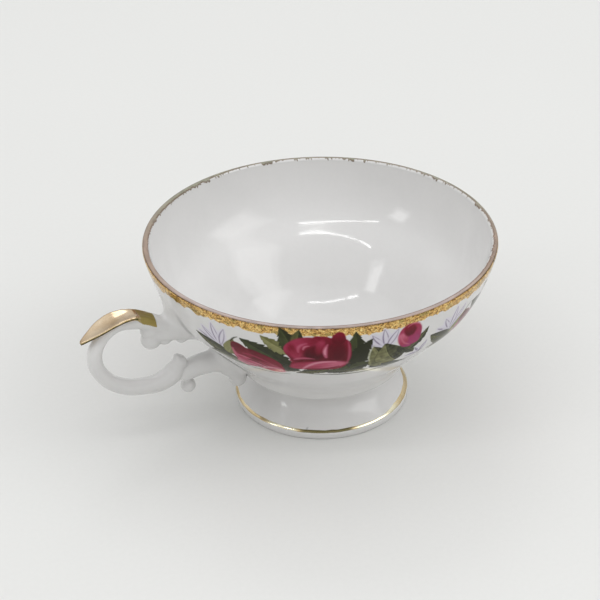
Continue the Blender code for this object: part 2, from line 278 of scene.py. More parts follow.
def store(mesh, name, values):
    """Stores a number, or a colour with its alpha, for each of the mesh's points."""
    values = values.astype(np.float32)
    kind, field = ("FLOAT", "value") if values.ndim == 1 else ("FLOAT_COLOR", "color")
    mesh.attributes.new(name, kind, "POINT").data.foreach_set(field, values.reshape(-1))


def grid_faces(columns, rows, closed=False):
    """The faces of a grid whose points run down each column in turn, closed if its ends meet."""
    spans = columns if closed else columns - 1
    start = (np.arange(spans)[:, None] * rows + np.arange(rows - 1)).reshape(-1)
    faces = np.stack([start, start + 1, start + rows + 1, start + rows], 1)
    return (faces % (columns * rows)).tolist()


# ---- brush work on the band
def smoothstep(low, high, value):
    t = np.clip((value - low) / (high - low), 0, 1)
    return t * t * (3 - 2 * t)


def lattice_noise(x, y, seed):
    """Smooth value noise between -1 and 1, with features one unit across."""
    size = 64
    table = np.random.default_rng(seed).uniform(-1, 1, (size, size))
    column = np.floor(x).astype(int)
    row = np.floor(y).astype(int)
    across = x - column
    along = y - row
    across = across * across * (3 - 2 * across)
    along = along * along * (3 - 2 * along)
    column, next_column = column % size, (column + 1) % size
    row, next_row = row % size, (row + 1) % size
    near = table[column, row] * (1 - across) + table[next_column, row] * across
    far = table[column, next_row] * (1 - across) + table[next_column, next_row] * across
    return near * (1 - along) + far * along


def mix(a, b, share):
    share = np.asarray(share)[:, None]
    return np.asarray(a) * (1 - share) + np.asarray(b) * share


def rgb(red, green, blue):
    return np.array((red, green, blue)) / 255


WHITE = rgb(216, 215, 214)
CRIMSON_DEEP = rgb(92, 10, 26)
CRIMSON = rgb(122, 20, 42)
ROSE = rgb(156, 48, 76)
PINK = rgb(190, 100, 124)
BLUSH = rgb(214, 150, 166)
MAGENTA = rgb(150, 46, 96)
GREEN_DEEP = rgb(42, 44, 26)
GREEN = rgb(70, 76, 44)
OLIVE = rgb(100, 100, 58)
OLIVE_LIGHT = rgb(144, 142, 98)
LILAC_FILL = rgb(208, 204, 216)
LILAC_LINE = rgb(112, 100, 124)

LACE_GOLD = rgb(224, 180, 108)
LACE_BRIGHT = rgb(255, 222, 150)
LACE_BROWN = rgb(104, 70, 34)
LACE_OLIVE = rgb(160, 148, 88)
# The lip's colours at the front, on the sides and at the back are painted reflections.
LIP_ROSE = rgb(170, 153, 146)
LIP_BROWN = rgb(148, 126, 110)
LIP_OLIVE = rgb(134, 132, 114)
LIP_LINE = rgb(104, 80, 66)

GOLD = rgb(200, 178, 134)
GOLD_BRIGHT = rgb(226, 208, 170)
# Painted reflections on the foot line: a pale highlight and a dark olive reflection.
GOLD_WINDOW_REFLECTION = rgb(236, 232, 206)
GOLD_DARK_REFLECTION = rgb(104, 98, 62)
LEAF_GOLD = rgb(194, 168, 134)
LEAF_BRIGHT = rgb(222, 202, 174)
LEAF_OLIVE = rgb(148, 134, 60)
# Painted shade on the leaf's rolled edge.
LEAF_EDGE_SHADE = rgb(64, 54, 38)
TABLE_WHITE = rgb(221, 221, 219)

# Half the width, in mm, over which a brush mark fades out at its edge.
BRUSH_EDGE = 0.13
# The side of the cup that faces the photographer, in degrees around it from the handle.
FRONT = 63
# How far around the cup each spray is turned from the first, in degrees.
SPRAY_TURNS = (0, 84, 168, 252)


class Canvas:
    """Points of the band, each with its place, its colour, and how gilt and how enamelled it is."""

    def __init__(self, around, down, ground):
        self.rows = down
        self.row_radius = film_section(down)[0] / MM
        self.around = np.repeat(around, len(down))
        self.down = np.tile(down, len(around))
        self.radius = np.tile(self.row_radius, len(around))
        self.colour = np.tile(ground, (len(self.around), 1))
        self.gilt = np.zeros(len(self.around))
        self.enamel = np.zeros(len(self.around))

    def near(self, place, reach):
        """The points within reach of a place, and how far right of it and above it each is, in mm."""
        turn = (self.around - place[0] + 180) % 360 - 180
        right = np.radians(turn) * self.radius
        up = place[1] - self.down
        found = np.nonzero((np.abs(right) < reach) & (np.abs(up) < reach))[0]
        return found, right[found], up[found]

    def toward(self, start, end):
        """How far right of start and above it the end lies, in mm."""
        radius = np.interp((start[1] + end[1]) / 2, self.rows, self.row_radius)
        return math.radians(end[0] - start[0]) * radius, start[1] - end[1]

    def lay(self, found, cover, colour):
        """Lays enamel on the points found, over any gilding, as thickly as its cover from 0 to 1."""
        cover = cover[:, None]
        self.colour[found] = self.colour[found] * (1 - cover) + colour * cover
        self.gilt[found] *= 1 - cover[:, 0]
        self.enamel[found] = np.maximum(self.enamel[found], cover[:, 0])


def leaf(canvas, base, tip, width, dark, light, bend=0.0, teeth=0, seed=0):
    """A leaf from base to tip, dark on one side of its midrib and lighter on the other."""
    right, up = canvas.toward(base, tip)
    length = math.hypot(right, up)
    found, x, y = canvas.near(base, length + width)
    u = (x * right + y * up) / length**2
    v = (x * -up + y * right) / length - bend * 4 * np.clip(u, 0, 1) * (1 - u)
    along = np.clip(u, 0, 1)
    half = width / 2 * np.sin(np.pi * along**0.72) ** 0.85
    if teeth:
        half *= 1 - 0.24 * ((along * teeth - 0.25 * np.sign(v)) % 1) ** 1.5
    half *= 1 + 0.06 * lattice_noise(along * 6, np.sign(v) * 3.5, seed)
    inside = (u > 0) & (u < 1)
    mask = smoothstep(-BRUSH_EDGE, BRUSH_EDGE, half - np.abs(v)) * inside
    side = smoothstep(-0.25, 0.25, v)
    veins = 0.5 + 0.5 * np.cos(2 * np.pi * (along * 7 - np.abs(v) / width * 1.6))
    grain = lattice_noise(along * length * 0.5, v * 1.6, seed + 1)
    colour = mix(dark, light, np.clip(0.18 + 0.5 * side + 0.1 * (veins - 0.5) + 0.22 * grain, 0, 1))
    rim = smoothstep(0.35, 0.0, half - np.abs(v))
    colour = mix(colour, dark * 0.75, 0.55 * rim)
    rib = smoothstep(0.16, 0.04, np.abs(v)) * smoothstep(1.0, 0.75, along)
    colour = mix(colour, light * 1.15, 0.6 * rib)
    canvas.lay(found, mask, np.clip(colour, 0, 1))


def petal(canvas, centre, half_long, half_wide, heading, root, tip, seed=0, edge=0.2, square=2.0):
    """A rounded petal, whose colour runs from its root to its outer edge. Heading 90 is up."""
    found, x, y = canvas.near(centre, max(half_long, half_wide) * 1.3 + 0.4)
    angle = math.radians(heading)
    outward = (x * math.cos(angle) + y * math.sin(angle)) / half_long
    aside = (y * math.cos(angle) - x * math.sin(angle)) / half_wide
    bearing = np.arctan2(aside, outward)
    rho = (np.abs(outward) ** square + np.abs(aside) ** square) ** (1 / square)
    rho = rho * (1 + 0.06 * lattice_noise(bearing * 1.6 + 9, bearing * 0, seed))
    soft = edge / min(half_long, half_wide)
    mask = smoothstep(1 + soft, 1 - soft, rho)
    fan = np.arctan2(aside, outward + 1.3)
    streak = lattice_noise(fan * 8, rho * 2.0, seed + 3)
    colour = mix(root, tip, np.clip(smoothstep(0.05, 0.95, (outward + 1) / 2) + 0.2 * streak, 0, 1))
    canvas.lay(found, mask, np.clip(colour, 0, 1))


def stroke(canvas, places, width, colour, cover=1.0, edge=BRUSH_EDGE):
    """A tapering brush line from its first place to its last, bending towards the middle one."""
    start, pull, end = places
    pull_x, pull_y = canvas.toward(start, pull)
    end_x, end_y = canvas.toward(start, end)
    reach = max(abs(pull_x), abs(pull_y), abs(end_x), abs(end_y)) + width + 0.3
    found, x, y = canvas.near(start, reach)
    gap = np.full(len(found), 1e9)
    steps = 10
    t = np.linspace(0, 1, steps + 1)
    line_x = 2 * (1 - t) * t * pull_x + t * t * end_x
    line_y = 2 * (1 - t) * t * pull_y + t * t * end_y
    half = width / 2 * (0.3 + 0.7 * np.sin(np.pi * (0.12 + 0.88 * t)))
    for i in range(steps):
        run_x, run_y = line_x[i + 1] - line_x[i], line_y[i + 1] - line_y[i]
        share = ((x - line_x[i]) * run_x + (y - line_y[i]) * run_y) / max(run_x**2 + run_y**2, 1e-9)
        share = np.clip(share, 0, 1)
        away = np.hypot(x - line_x[i] - share * run_x, y - line_y[i] - share * run_y)
        gap = np.minimum(gap, away - half[i] - share * (half[i + 1] - half[i]))
    canvas.lay(found, cover * smoothstep(edge, -edge, gap), colour)


def lilac(canvas, base, tips, turn):
    """A thin-petalled flower: each petal is a pale wash between two curved lines."""
    for tip_around, tip_down, bulge in tips:
        tip = (tip_around + turn, tip_down)
        root = (base[0] + turn, base[1])
        middle = ((root[0] + tip[0]) / 2, (root[1] + tip[1]) / 2)
        left = (middle[0] - bulge, middle[1] - 0.4)
        right = (middle[0] + bulge, middle[1] + 0.4)
        stroke(canvas, (root, middle, tip), 2.0 * bulge, LILAC_FILL, 0.8, 0.3)
        stroke(canvas, (root, left, tip), 0.40, LILAC_LINE, 0.75)
        stroke(canvas, (root, right, tip), 0.34, LILAC_LINE, 0.6)


def spray(canvas, turn):
    """One spray of roses, leaves and lilac flowers, turned to its place around the cup."""

    def at(around, down):
        return (around + turn, down)

    def leaf_at(base, tip, width, dark, light, **style):
        leaf(canvas, at(*base), at(*tip), width, dark, light, **style)

    def petal_at(centre, half_long, half_wide, heading, root, tip, **style):
        petal(canvas, at(*centre), half_long, half_wide, heading, root, tip, **style)

    def line(start, pull, end, width, colour, cover=1.0, edge=BRUSH_EDGE):
        stroke(canvas, (at(*start), at(*pull), at(*end)), width, colour, cover, edge)

    # lilac flowers, behind everything
    for base, tips in (
        ((27.5, 12.8), ((19.8, 9.2, 2.1), (22.4, 6.4, 2.1), (27.0, 3.6, 1.8), (31.6, 4.6, 1.7))),
        ((84.2, 9.6), ((77.0, 6.4, 2.1), (78.6, 3.4, 2.1), (82.4, 1.8, 1.9), (87.2, 2.8, 1.8))),
        ((99.4, 17.4), ((93.6, 17.6, 1.0), (96.4, 14.2, 1.0), (100.6, 12.4, 0.9))),
    ):
        lilac(canvas, base, tips, turn)

    # stems under the flowers
    line((54.0, 20.6), (72.0, 25.6), (90.0, 22.2), 0.62, GREEN_DEEP, 0.9)
    line((66.0, 22.2), (80.0, 24.4), (97.0, 19.8), 0.46, GREEN, 0.8)
    line((88.0, 22.4), (96.0, 21.6), (101.0, 16.6), 0.5, GREEN_DEEP, 0.85)
    line((24.0, 19.0), (36.0, 26.6), (50.0, 23.6), 0.6, GREEN_DEEP, 0.85)

    # leaves at the left end
    leaf_at((30.6, 17.0), (17.0, 10.6), 5.4, GREEN_DEEP, OLIVE, bend=0.5, seed=1)
    leaf_at((29.4, 15.8), (34.2, 7.4), 4.6, OLIVE, OLIVE_LIGHT, bend=-0.4, seed=2)
    leaf_at((33.0, 18.5), (19.5, 18.4), 4.6, GREEN_DEEP, OLIVE, bend=-0.6, seed=3)
    leaf_at((35.0, 22.0), (23.5, 22.0), 3.6, GREEN_DEEP, OLIVE_LIGHT, bend=-0.4, seed=4)
    line((33.0, 8.8), (33.9, 7.0), (36.2, 6.0), 0.46, GREEN_DEEP)

    # leaves around the roses
    leaf_at((53.0, 17.4), (36.0, 6.2), 8.6, GREEN_DEEP, GREEN, bend=-0.7, teeth=9, seed=5)
    leaf_at((54.6, 14.4), (45.4, 20.6), 8.0, GREEN_DEEP, GREEN_DEEP, bend=0.3, teeth=5, seed=6)
    leaf_at((54.4, 9.4), (44.0, 3.2), 5.6, OLIVE, OLIVE_LIGHT, bend=0.6, teeth=6, seed=7)
    leaf_at((54.6, 9.6), (50.6, -0.7), 6.2, GREEN_DEEP, GREEN, bend=-0.3, teeth=6, seed=8)
    leaf_at((55.0, 6.4), (56.6, -0.4), 3.6, GREEN_DEEP, OLIVE, seed=9)
    leaf_at((66.0, 18.0), (54.0, 21.6), 5.4, GREEN_DEEP, OLIVE, bend=-0.6, teeth=6, seed=10)
    leaf_at((64.0, 19.4), (80.6, 21.4), 5.4, GREEN_DEEP, GREEN, bend=0.9, teeth=8, seed=11)
    leaf_at((73.2, 20.6), (73.4, 0.8), 8.4, GREEN_DEEP, GREEN, bend=-0.7, teeth=9, seed=12)
    leaf_at((72.8, 17.0), (79.2, 4.4), 6.4, GREEN_DEEP, GREEN_DEEP, bend=0.6, teeth=7, seed=13)
    leaf_at((73.0, 18.6), (80.6, 15.4), 5.6, GREEN_DEEP, GREEN, bend=0.4, teeth=5, seed=14)
    leaf_at((80.0, 19.0), (96.0, 21.4), 3.6, GREEN_DEEP, GREEN, bend=0.5, seed=15)
    leaf_at((84.6, 19.8), (79.2, 8.0), 7.4, GREEN_DEEP, OLIVE_LIGHT, bend=-0.9, seed=16)
    leaf_at((90.0, 18.0), (83.2, 7.6), 8.6, GREEN_DEEP, OLIVE_LIGHT, bend=0.9, seed=17)
    leaf_at((88.6, 10.6), (96.2, 16.0), 5.0, GREEN_DEEP, GREEN, bend=0.4, teeth=4, seed=18)
    leaf_at((93.0, 13.8), (99.0, 5.6), 3.4, GREEN_DEEP, OLIVE, bend=-0.5, teeth=5, seed=19)
    line((79.3, 15.0), (77.8, 10.5), (80.0, 7.4), 0.6, rgb(186, 188, 164), 0.8)

    # half-open rose
    petal_at((40.8, 17.0), 7.0, 4.4, -26, ROSE, CRIMSON, seed=20, square=2.6)
    petal_at((35.8, 19.2), 3.6, 3.0, 215, ROSE, PINK, seed=21)
    petal_at((42.6, 14.2), 6.0, 2.8, -29, CRIMSON_DEEP, CRIMSON, seed=22, square=2.4)
    petal_at((35.8, 12.0), 3.6, 2.6, 118, CRIMSON, CRIMSON_DEEP, seed=23)
    petal_at((44.6, 19.6), 4.4, 3.0, -35, CRIMSON, PINK, seed=24, edge=0.5)
    petal_at((38.8, 17.4), 3.6, 1.4, -20, ROSE, PINK, seed=25, edge=0.6)
    line((32.8, 11.8), (32.2, 14.4), (33.4, 17.4), 0.9, PINK, 0.8, 0.3)
    line((33.6, 15.0), (36.8, 14.6), (41.0, 17.8), 0.8, PINK, 0.75, 0.3)
    line((41.2, 21.0), (43.4, 18.0), (47.4, 19.8), 1.2, BLUSH, 0.8, 0.4)
    line((36.2, 19.2), (39.4, 20.0), (43.4, 22.4), 0.9, BLUSH, 0.6, 0.35)
    line((37.2, 16.2), (40.4, 16.2), (43.2, 19.0), 0.9, CRIMSON_DEEP, 0.9, 0.25)
    line((36.0, 13.4), (40.6, 12.4), (46.0, 16.6), 0.8, ROSE, 0.8, 0.4)
    line((44.4, 19.0), (46.8, 18.4), (48.8, 20.4), 1.0, PINK, 0.8, 0.4)

    # full rose: a square bloom of dark petals, with the light on a few folded edges
    petal_at((62.2, 13.2), 7.6, 4.4, 0, CRIMSON, CRIMSON, seed=30, square=3.4)
    petal_at((67.6, 8.6), 6.0, 4.1, 90, CRIMSON_DEEP, CRIMSON, seed=31, square=3.2)
    petal_at((63.2, 4.8), 3.0, 2.8, 90, CRIMSON_DEEP, CRIMSON, seed=29, square=2.8)
    petal_at((58.4, 8.4), 5.6, 5.4, 115, CRIMSON_DEEP, ROSE, seed=32, square=3.0)
    petal_at((68.4, 3.0), 2.4, 1.9, 90, CRIMSON_DEEP, CRIMSON, seed=33)
    petal_at((54.6, 8.6), 3.4, 1.7, 100, ROSE, CRIMSON, seed=34, edge=0.5)
    petal_at((58.4, 3.8), 3.6, 1.3, 4, ROSE, CRIMSON, seed=35, edge=0.5)
    petal_at((57.6, 6.6), 2.7, 2.2, 130, CRIMSON, ROSE, seed=36, edge=0.5)
    petal_at((60.8, 8.8), 3.0, 2.6, 80, CRIMSON_DEEP * 0.8, CRIMSON_DEEP, seed=37, edge=0.7)
    petal_at((62.8, 6.4), 3.0, 1.3, 80, CRIMSON, ROSE, seed=38, edge=0.5)
    petal_at((68.6, 8.6), 4.2, 2.0, 92, CRIMSON_DEEP * 0.9, CRIMSON_DEEP, seed=39, edge=0.8)
    line((66.3, 12.0), (65.6, 8.0), (66.8, 4.6), 1.4, CRIMSON_DEEP, 0.8, 0.4)
    line((64.6, 10.8), (63.6, 8.0), (65.0, 5.2), 1.3, PINK, 0.9, 0.35)
    line((64.3, 9.6), (63.8, 8.0), (64.6, 6.4), 0.6, BLUSH, 0.8, 0.25)
    line((71.6, 14.2), (72.6, 9.0), (71.2, 4.4), 0.8, PINK, 0.6, 0.35)
    line((55.8, 8.6), (55.4, 5.6), (58.6, 4.8), 0.9, PINK, 0.7, 0.4)
    line((57.4, 7.4), (57.6, 5.8), (59.4, 5.8), 0.6, BLUSH, 0.65, 0.3)
    line((54.2, 12.2), (57.0, 10.8), (60.8, 11.6), 0.9, PINK, 0.75, 0.35)
    petal_at((56.6, 15.2), 3.6, 1.9, 205, CRIMSON, ROSE, seed=40, edge=0.4)
    petal_at((63.4, 14.8), 6.6, 2.0, 186, PINK, ROSE, seed=41, edge=0.4)
    line((56.8, 17.2), (60.6, 12.2), (68.0, 13.2), 1.0, BLUSH, 0.75, 0.4)
    line((58.0, 17.4), (63.0, 18.2), (69.0, 15.6), 0.8, CRIMSON_DEEP, 0.7, 0.35)

    # bud
    petal_at((92.0, 6.8), 4.9, 3.5, 105, MAGENTA, ROSE, seed=50, square=2.3)
    petal_at((89.6, 7.8), 2.9, 1.5, 110, ROSE, PINK, seed=51, edge=0.4)
    petal_at((94.4, 6.0), 3.4, 1.3, 100, MAGENTA, ROSE, seed=52, edge=0.4)
    petal_at((91.4, 4.4), 2.6, 1.8, 112, CRIMSON_DEEP, CRIMSON, seed=53, edge=0.45)
    line((92.6, 10.8), (89.4, 9.6), (88.6, 6.0), 0.6, PINK, 0.75, 0.25)
    line((90.4, 3.0), (92.4, 1.4), (94.6, 3.0), 0.6, PINK, 0.7, 0.25)


def lace(canvas):
    """The gilt edge: a worn line over the lip, with painted reflections in its colour, and a speckled
    lace border under it.
    """
    along = np.radians(canvas.around) * RIM_RADIUS / MM
    down = canvas.down
    flat = 0 * along
    scallop = 0.55 * lattice_noise(along * 0.30, flat, 101) + 0.4 * lattice_noise(along * 1.1, flat, 102)
    lower = 2.15 + scallop
    speck = lattice_noise(along * 2.3, down * 2.6, 103)
    speck = speck + 0.5 * lattice_noise(along * 4.1, down * 4.3, 104)
    patch = lattice_noise(along * 0.5, down * 0.8, 105)
    gold = mix(LACE_GOLD, LACE_BRIGHT, smoothstep(0.1, 0.7, speck))
    gold = mix(gold, LACE_BROWN, 0.75 * smoothstep(-0.35, -0.75, speck))
    gold = mix(gold, LACE_OLIVE, 0.55 * smoothstep(0.2, 0.7, patch))
    border = smoothstep(-0.75, -0.55, down) * smoothstep(0.15, -0.15, down - lower)
    canvas.colour = mix(canvas.colour, gold, border)
    canvas.gilt = 0.85 * border

    # How each place faces the camera's side; the lip's colour below is painted reflection, brownish on
    # the sides and olive at the back.
    facing = np.cos(np.radians(canvas.around - FRONT))
    back = smoothstep(0.2, -0.6, facing)
    side = smoothstep(0.75, 0.3, facing)
    left = smoothstep(0.4, 0.9, np.cos(np.radians(canvas.around - FRONT + 90)))
    drip = 0.6 * lattice_noise(along * 0.8, flat, 107) + 0.8 * lattice_noise(along * 2.4, flat, 108)
    inner_edge = -1.8 - 0.7 * left - np.clip(drip, 0, 1) * (0.1 + 0.8 * np.maximum(back, 0.6 * side))
    lip = smoothstep(inner_edge - 0.12, inner_edge + 0.12, down) * smoothstep(-0.5, -0.75, down)
    # Painted reflections on the lip: rose at the front, brown on the sides, olive at the back, over
    # patches of uneven tone.
    lip_patches_and_reflection = mix(LIP_ROSE, LIP_BROWN, side)
    lip_patches_and_reflection = mix(lip_patches_and_reflection, LIP_OLIVE, back)
    patches = lattice_noise(along * 0.45, down, 106)
    lip_patches_and_reflection = lip_patches_and_reflection * (1 + 0.09 * patches[:, None])
    canvas.colour = mix(canvas.colour, lip_patches_and_reflection, 0.95 * lip)
    canvas.gilt = np.maximum(canvas.gilt, 0.25 * lip)
    outer_line = np.exp(-(((down + 0.62) / 0.14) ** 2))
    inner_line = lip * np.exp(-(((down - inner_edge - 0.2) / 0.22) ** 2))
    canvas.colour = mix(canvas.colour, LIP_LINE, np.clip(0.85 * outer_line + 0.8 * inner_line, 0, 1))


def painted_canvas(around, down):
    """The band's canvas with the gilt edge and all the sprays on it."""
    canvas = Canvas(around, down, WHITE)
    lace(canvas)
    for turn in SPRAY_TURNS:
        spray(canvas, turn)
    return canvas


def linear(colour):
    """Display colour values as the linear values that shaders take."""
    return np.where(colour <= 0.04045, colour / 12.92, ((colour + 0.055) / 1.055) ** 2.4)


# ---- materials
def new_material(name):
    material = bpy.data.materials.new(name)
    material.use_nodes = True
    tree = material.node_tree
    tree.nodes.clear()
    output = tree.nodes.new("ShaderNodeOutputMaterial")
    shader = tree.nodes.new("ShaderNodeBsdfPrincipled")
    tree.links.new(shader.outputs["BSDF"], output.inputs["Surface"])
    return material, tree, shader


def object_noise(tree, scale, detail, roughness=0.5):
    """Noise in the piece's own coordinates; a scale of 1000 gives features about a millimetre across."""
    place = tree.nodes.new("ShaderNodeTexCoord")
    noise = tree.nodes.new("ShaderNodeTexNoise")
    noise.inputs["Scale"].default_value = scale
    noise.inputs["Detail"].default_value = detail
    noise.inputs["Roughness"].default_value = roughness
    tree.links.new(place.outputs["Object"], noise.inputs["Vector"])
    return noise.outputs["Fac"]


def feed(tree, value, socket):
    """Links another node's output to the socket, or sets the socket to a plain value."""
    if isinstance(value, bpy.types.NodeSocket):
        tree.links.new(value, socket)
    else:
        socket.default_value = value


def remap(tree, value, low, high, to_low, to_high):
    """A value moved from the range low..high, and held within it, to the range to_low..to_high."""
    node = tree.nodes.new("ShaderNodeMapRange")
    node.inputs["From Min"].default_value = low
    node.inputs["From Max"].default_value = high
    feed(tree, to_low, node.inputs["To Min"])
    feed(tree, to_high, node.inputs["To Max"])
    feed(tree, value, node.inputs["Value"])
    return node.outputs["Result"]


def calculate(tree, operation, a, b):
    node = tree.nodes.new("ShaderNodeMath")
    node.operation = operation
    feed(tree, a, node.inputs[0])
    feed(tree, b, node.inputs[1])
    return node.outputs["Value"]


# Where the colour sockets stand among those of Blender's Mix node.
MIX_FIRST, MIX_SECOND, MIX_RESULT = 6, 7, 2


def mix_colours(tree, share, first, second):
    node = tree.nodes.new("ShaderNodeMix")
    node.data_type = "RGBA"
    feed(tree, share, node.inputs["Factor"])
    feed(tree, first, node.inputs[MIX_FIRST])
    feed(tree, second, node.inputs[MIX_SECOND])
    return node.outputs[MIX_RESULT]


def opaque(colour):
    """A display colour as the linear colour, with its alpha, that a shader's socket takes."""
    return (*linear(colour).tolist(), 1.0)


def attribute(tree, name, output="Fac"):
    """What the mesh stores under a name for each of its points."""
    node = tree.nodes.new("ShaderNodeAttribute")
    node.attribute_name = name
    return node.outputs[output]


def uneven(tree, scale, low, high, detail=3.0, roughness=0.5, span=(0.3, 0.7)):
    """Noise that goes from low to high, where its plain value goes through the span."""
    return remap(tree, object_noise(tree, scale, detail, roughness), *span, low, high)


def scaled(tree, colour, factor):
    """A colour multiplied by a grey factor."""
    node = tree.nodes.new("ShaderNodeVectorMath")
    node.operation = "SCALE"
    feed(tree, colour, node.inputs[0])
    feed(tree, factor, node.inputs["Scale"])
    return node.outputs["Vector"]


def glaze_tint(tree):
    """A faint unevenness of the white glaze with a few dark specks, as a factor on its colour."""
    broad = uneven(tree, 55.0, 0.975, 1.01, detail=2.0)
    fine = uneven(tree, 900.0, 0.99, 1.01, detail=2.0, span=(0.2, 0.8))
    specks = uneven(tree, 420.0, 1.0, 0.6, detail=0.0, span=(0.90, 0.95))
    return calculate(tree, "MULTIPLY", calculate(tree, "MULTIPLY", broad, fine), specks)


def white_glaze_colour(tree):
    """The glaze's white with its unevenness."""
    return scaled(tree, opaque(WHITE)[:3], glaze_tint(tree))


def glaze_finish(tree, shader):
    """Gives the glaze its slow waviness, and returns its roughness, which is nearly a mirror's."""
    shader.inputs["IOR"].default_value = 1.5
    wave = object_noise(tree, 120.0, 1.0)
    bump = tree.nodes.new("ShaderNodeBump")
    bump.inputs["Strength"].default_value = 0.12
    bump.inputs["Distance"].default_value = 0.0003
    feed(tree, wave, bump.inputs["Height"])
    feed(tree, bump.outputs["Normal"], shader.inputs["Normal"])
    return uneven(tree, 260.0, 0.05, 0.09)


def porcelain():
    """Glossy white glaze."""
    material, tree, shader = new_material("glazed_porcelain")
    feed(tree, white_glaze_colour(tree), shader.inputs["Base Color"])
    feed(tree, glaze_finish(tree, shader), shader.inputs["Roughness"])
    return material


def gold_colour(tree, dark, light):
    """Burnished gold, faintly uneven between its two colours."""
    patches = uneven(tree, 180.0, 0.0, 1.0, 2.0, 0.6)
    grains = uneven(tree, 1800.0, 0.94, 1.04, 2.0, 0.6, (0.25, 0.75))
    return scaled(tree, mix_colours(tree, patches, opaque(dark), opaque(light)), grains)


def painted_band():
    """Painted colour and gilding on the glaze, read from the mesh, with brush grain and worn gold."""
    material, tree, shader = new_material("painted_rose_band")
    wear = uneven(tree, 2400.0, -0.35, 0.2, 2.0, 0.7)
    worn = calculate(tree, "ADD", attribute(tree, "gilt"), wear)
    share = remap(tree, worn, 0.4, 0.6, 0.0, 1.0)
    grain = uneven(tree, 3200.0, 0.42, 1.2, 1.0, 0.6, (0.36, 0.62))
    tint = remap(tree, share, 0.0, 1.0, glaze_tint(tree), grain)
    glaze = glaze_finish(tree, shader)
    gloss = remap(tree, attribute(tree, "enamel"), 0.0, 1.0, 0.5, 0.12)
    feed(tree, scaled(tree, attribute(tree, "paint", "Color"), tint), shader.inputs["Base Color"])
    feed(tree, calculate(tree, "MULTIPLY", share, 0.92), shader.inputs["Metallic"])
    feed(tree, remap(tree, share, 0.0, 1.0, glaze, 0.2), shader.inputs["Roughness"])
    feed(tree, gloss, shader.inputs["Specular IOR Level"])
    return material


def gilding():
    """The foot line's gold with painted reflections: a pale highlight where the stored value is 1, a dark
    olive reflection where it is -1.
    """
    material, tree, shader = new_material("gilding")
    painted_reflection = attribute(tree, "painted_reflection")
    # Painted highlight where the value is above 0, painted dark reflection where it is below.
    pale = remap(tree, painted_reflection, 0.0, 1.0, 0.0, 0.8)
    dark = remap(tree, painted_reflection, 0.0, -1.0, 0.0, 0.9)
    gold = mix_colours(tree, pale, gold_colour(tree, GOLD, GOLD_BRIGHT), opaque(GOLD_WINDOW_REFLECTION))
    gold = mix_colours(tree, dark, gold, opaque(GOLD_DARK_REFLECTION))
    feed(tree, gold, shader.inputs["Base Color"])
    feed(tree, uneven(tree, 800.0, 0.08, 0.14), shader.inputs["Roughness"])
    shader.inputs["Metallic"].default_value = 0.95
    return material


# ---- bowl, band and foot
def make_bowl(material):
    """The bowl with its rounded lip, turned in one piece."""
    section = np.vstack([lip_arc(24), outer_wall(), [(0.0, LANDING_HEIGHT)], inner_wall()])
    piece = turned_piece("bowl_porcelain", section, BOWL_STEPS, material)
    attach(piece, "root")
    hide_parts("bowl")


def make_band(material):
    """The painted and gilt film on the bowl's outside, one piece for each spray."""
    down = np.arange(BAND_TOP, BAND_BOTTOM + BAND_ROW / 2, BAND_ROW)
    around = np.arange(BAND_COLUMNS) * 360 / BAND_COLUMNS
    canvas = painted_canvas(around, down)
    rows = len(down)
    points, normals = film_places(around, down, film_lift(rows))
    opacity = np.ones(len(points))
    colour = np.column_stack([linear(np.clip(canvas.colour, 0, 1)), opacity])
    span = BAND_COLUMNS // BAND_SECTORS
    start = round(BAND_START / 360 * BAND_COLUMNS)
    for sector in range(BAND_SECTORS):
        columns = (start + sector * span + np.arange(span + 1)) % BAND_COLUMNS
        chosen = (columns[:, None] * rows + np.arange(rows)[None, :]).reshape(-1)
        faces = grid_faces(span + 1, rows)
        piece = new_piece(f"rose_band_{sector + 1}", points[chosen], faces, material)
        store(piece.data, "paint", colour[chosen])
        store(piece.data, "gilt", canvas.gilt[chosen])
        store(piece.data, "enamel", canvas.enamel[chosen])
        piece.data.normals_split_custom_set_from_vertices(normals[chosen].tolist())
        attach(piece, "root")


def make_foot(material):
    """The hollow foot, with the fillet of slip that joins it to the bowl."""
    piece = turned_piece("foot_porcelain", foot_section(), FOOT_STEPS, material)
    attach(piece, "root")
    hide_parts("foot", "foot_slip_seam")


def foot_line_painted_reflection(angles):
    """The foot line's painted reflections around the cup: a dark reflection at the front, pale highlights
    on both sides of it.
    """

    def near(centre, half_span, fade):
        away = np.abs((np.degrees(angles) - centre + 180) % 360 - 180)
        return smoothstep(half_span + fade, half_span - fade, away)

    # Pale painted highlights where windows would be reflected, and a dark painted reflection at the
    # front.
    pale = np.maximum(near(216, 11, 4), near(284, 19, 5))
    return pale - near(246, 18, 4)


def foot_line_borders(angles, break_at):
    """Where the foot line begins and ends, in mm down the foot's outside, at angles around the cup."""
    along = angles * FOOT_RADIUS / MM
    broad = 0.9 * smoothstep(0.8, 0.97, np.cos(angles - math.radians(BROAD_SIDE)))
    upper = break_at + 0.1 - broad + 0.10 * lattice_noise(along * 0.5, 0 * along, 201)
    lower = break_at + 1.3 + 0.08 * lattice_noise(along * 0.6, 0 * along, 202)
    return upper, lower


def make_foot_gilding(material):
    """The gold line around the foot's edge, with an uneven upper and lower border."""
    columns, rows = FOOT_LINE_STEPS, FOOT_LINE_ROWS
    flare = foot_flare(80)
    outline = np.vstack([flare, foot_rim(12)])
    distance = lengths_along(outline)
    angles = np.arange(columns) * 2 * math.pi / columns
    upper, lower = foot_line_borders(angles, distance[len(flare)])
    places = upper[:, None] + (lower - upper)[:, None] * np.arange(rows) / (rows - 1)
    radius, height, out, up = read_section(outline, distance, places)
    radius += film_lift(rows) * out
    height += film_lift(rows) * up
    turn = angles[:, None]
    points = np.stack([AXIS_X + radius * np.cos(turn), radius * np.sin(turn), height], -1)
    faces = grid_faces(columns, rows, closed=True)
    piece = new_piece("foot_gold_line", points.reshape(-1, 3), faces, material)
    # The painted reflections, stored for the gilding's colour.
    store(piece.data, "painted_reflection", np.repeat(foot_line_painted_reflection(angles), rows))
    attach(piece, "root")


